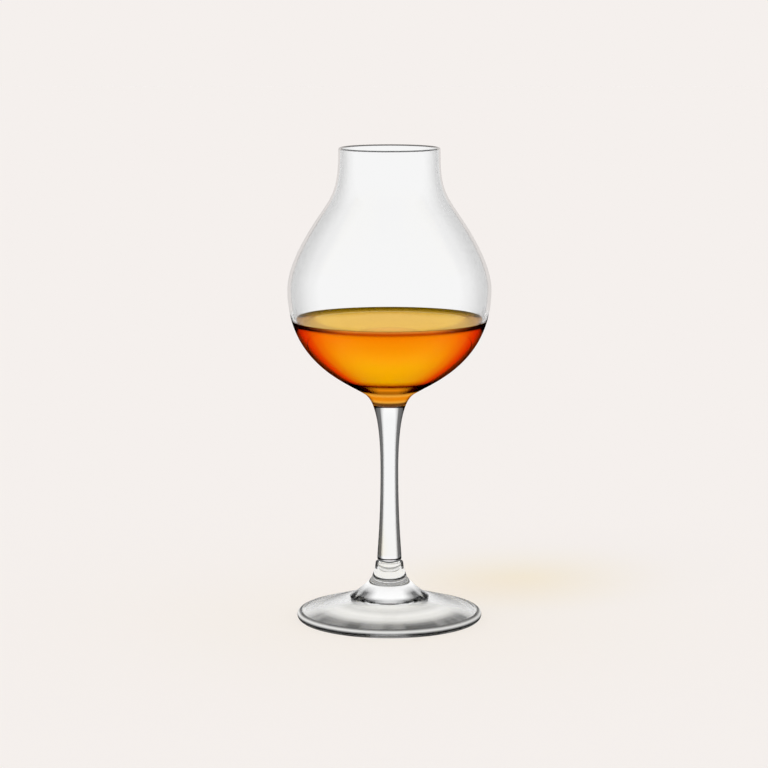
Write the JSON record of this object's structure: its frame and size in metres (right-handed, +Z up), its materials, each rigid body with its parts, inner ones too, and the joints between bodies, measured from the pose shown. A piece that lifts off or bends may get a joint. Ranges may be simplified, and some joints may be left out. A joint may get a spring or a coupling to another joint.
{
  "type": "whisky nosing glass",
  "caption": "Stemmed nosing glass with a round belly that narrows to a chimney neck, a solid stem and a round foot, holding a pour of whisky.",
  "frame": {"origin": "centre of the flat ring that the foot rests on, on the table", "axes": "+Z up along the stem, from the foot to the rim; the glass is turned about Z, so X and Y are alike"},
  "size_m": [0.0684, 0.0684, 0.16],
  "materials": {
    "clear_glass": "polished",
    "whisky": "gloss"
  },
  "bodies": {
    "root": {"foot": "clear_glass", "stem": "clear_glass", "bowl": "clear_glass", "whisky": "whisky"}
  },
  "joints": []
}
